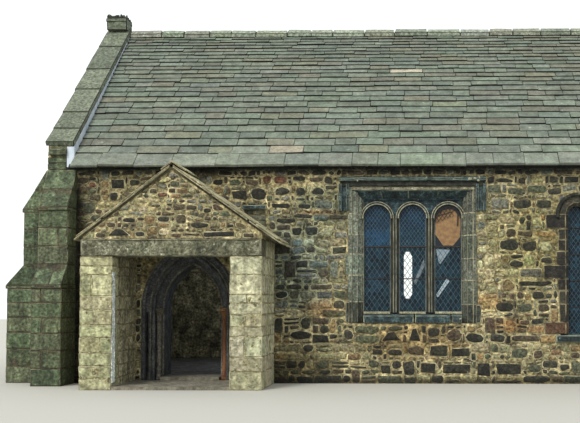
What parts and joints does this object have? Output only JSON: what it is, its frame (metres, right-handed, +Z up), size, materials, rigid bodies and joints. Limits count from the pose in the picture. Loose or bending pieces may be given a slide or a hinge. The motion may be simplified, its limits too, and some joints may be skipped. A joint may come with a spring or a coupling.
{
  "type": "small stone chapel with a gabled porch",
  "caption": "Small rubble-stone chapel with a stone-slated nave, gable parapets, corner buttresses, a mullioned window and a gabled south porch.",
  "frame": {"origin": "middle of the nave's plan at ground level, on the underside of its floor", "axes": "+X east along the nave, +Y north away from the porch, +Z up"},
  "size_m": [17.51, 9.975, 8.2319],
  "materials": {
    "paving": "worn riven flagstones",
    "rubble": "roughly coursed rubble in wide cream lime mortar, stained dark",
    "slate": "thick riven stone slates in diminishing courses, lichen-grey",
    "coping": "weathered, mossy coping slabs",
    "ashlar": "dressed sandstone blocks, green-grey with algae",
    "dark_stone": "dressed sandstone blackened by soot",
    "lintel": "one long sandstone, brown with a dark underside",
    "oak": "rough-sawn oak, dark with age",
    "lead": "dressed sheet lead, pale grey",
    "glazing": "small diamond quarries in lead, deep blue"
  },
  "bodies": {
    "root": {"nave_floor": "paving", "porch_floor": "paving", "threshold": "paving", "south_wall_west": "rubble", "south_wall_over_door": "rubble", "south_wall_middle": "rubble", "south_wall_under_window": "rubble", "south_wall_over_window": "rubble", "south_wall_east": "rubble", "north_wall": "rubble", "west_gable_wall": "rubble", "west_gable_top": "rubble", "east_gable_wall": "rubble", "east_gable_top": "rubble", "nave_roof_south": "slate", "nave_roof_north": "slate", "ridge_stones": "slate", "coping_west": "coping", "coping_east": "coping", "kneelers": "ashlar", "apex_stones": "coping", "lead_flashings": "lead", "buttresses_west": "ashlar", "buttresses_east": "ashlar", "wall_plates": "oak", "tie_beams": "oak", "principal_rafters_south": "oak", "principal_rafters_north": "oak", "purlins": "oak", "porch_wall_west": "ashlar", "porch_wall_east": "ashlar", "porch_lintel": "lintel", "porch_gable": "rubble", "porch_roof_west": "slate", "porch_roof_east": "slate", "porch_ridge": "slate", "door_jambs": "ashlar", "door_arch": "ashlar", "door_shafts": "ashlar", "door_capitals": "ashlar", "window_sill": "dark_stone", "window_jambs": "ashlar", "window_mullions": "ashlar", "window_head": "ashlar", "window_label": "dark_stone", "window_glass": "glazing", "lancet_surrounds": "ashlar", "lancet_hoods": "dark_stone", "lancet_sills": "dark_stone", "lancet_glass": "glazing", "slit_surrounds": "ashlar", "slit_glass": "glazing", "wall_ledge": "dark_stone"}
  },
  "joints": []
}
